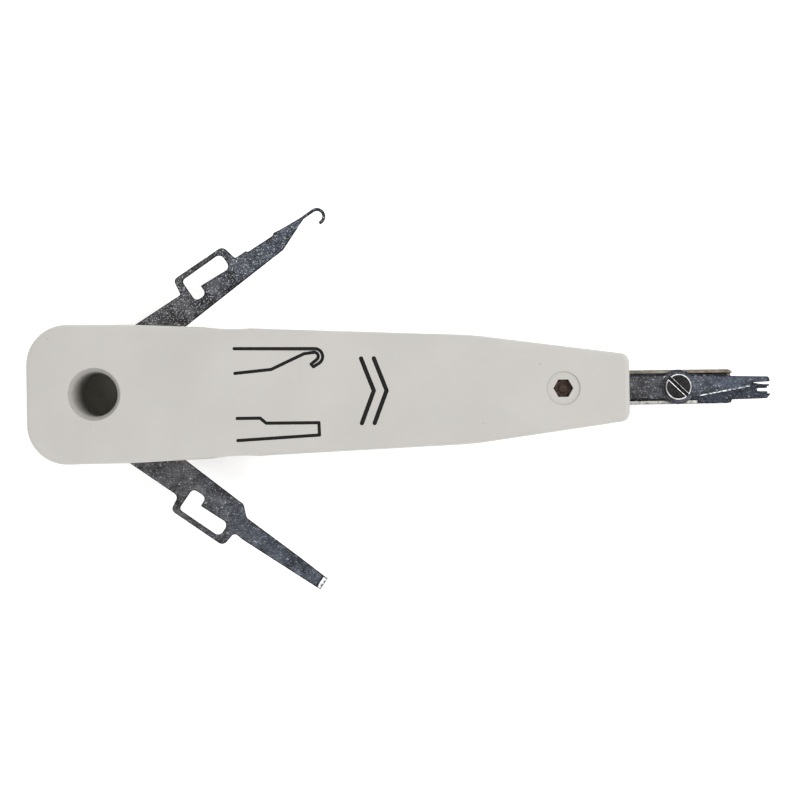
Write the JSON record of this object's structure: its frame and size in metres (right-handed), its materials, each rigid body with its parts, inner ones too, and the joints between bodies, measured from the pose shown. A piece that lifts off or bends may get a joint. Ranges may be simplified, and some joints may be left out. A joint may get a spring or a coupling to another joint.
{
  "type": "punch down tool",
  "caption": "Flat two-shell handle with a sprung inserting head and scissors at its tip, and a wire hook and a release blade that fold out of its sides.",
  "frame": {"origin": "on the axis of the hanging hole, on the plane where the two shells meet", "axes": "+X along the handle to the inserting tip, +Y to the hook's side, +Z out of the marked front face, along the hanging hole"},
  "size_m": [0.1768, 0.0916, 0.024],
  "materials": {
    "handle_plastic": "warm off-white moulded plastic, fine satin",
    "blade_steel": "dark grey tumbled tool steel",
    "olive_steel": "yellow-passivated steel sheet, worn dull",
    "black_oxide": "black oxide",
    "zinc_steel": "zinc plated",
    "ground_steel": "ground bright",
    "spring_steel": "oiled spring wire",
    "dark_steel": "dull plated",
    "brown_steel": "browned steel"
  },
  "bodies": {
    "handle": {"front_shell": "handle_plastic", "rear_shell": "handle_plastic", "shell_screw": "dark_steel", "shell_nut": "brown_steel", "cam_sleeve": "ground_steel", "body_screws": "zinc_steel", "hook_pin": "ground_steel", "blade_pin": "ground_steel", "spring_seat": "ground_steel", "main_spring": "spring_steel"},
    "head": {"head_channel": "olive_steel", "inserter_blade": "blade_steel", "fixed_jaw": "blade_steel", "head_rivet": "ground_steel", "guide_rod": "ground_steel", "pivot_screw": "black_oxide", "pivot_washer": "blade_steel", "pivot_nut": "black_oxide"},
    "scissor": {"moving_jaw": "blade_steel"},
    "hook": {"pull_hook": "blade_steel"},
    "blade": {"release_blade": "blade_steel"}
  },
  "joints": [
    {"name": "head_slide", "type": "slide", "parent": "handle", "child": "head", "axis": [-1, 0, 0], "range_m": [0, 0.006], "stiffness_N_per_m": 4200, "springref_m": -0.006, "deforming": ["main_spring"]},
    {"name": "scissor_turn", "type": "hinge", "parent": "head", "child": "scissor", "pos_m": [0.1385, 0, 0], "axis": [0, 0, 1], "range_deg": [-4.02, 0]},
    {"name": "hook_swing", "type": "hinge", "parent": "handle", "child": "hook", "pos_m": [0.0076, 0.0123, 0], "axis": [0, 0, 1], "range_deg": [-35.9, 56.4]},
    {"name": "blade_swing", "type": "hinge", "parent": "handle", "child": "blade", "pos_m": [0.0076, -0.0123, 0], "axis": [0, 0, 1], "range_deg": [-54.9, 37.4]}
  ],
  "couplings": [
    {"joint": "scissor_turn", "follows": "head_slide", "rad_per_m": -11.636}
  ]
}
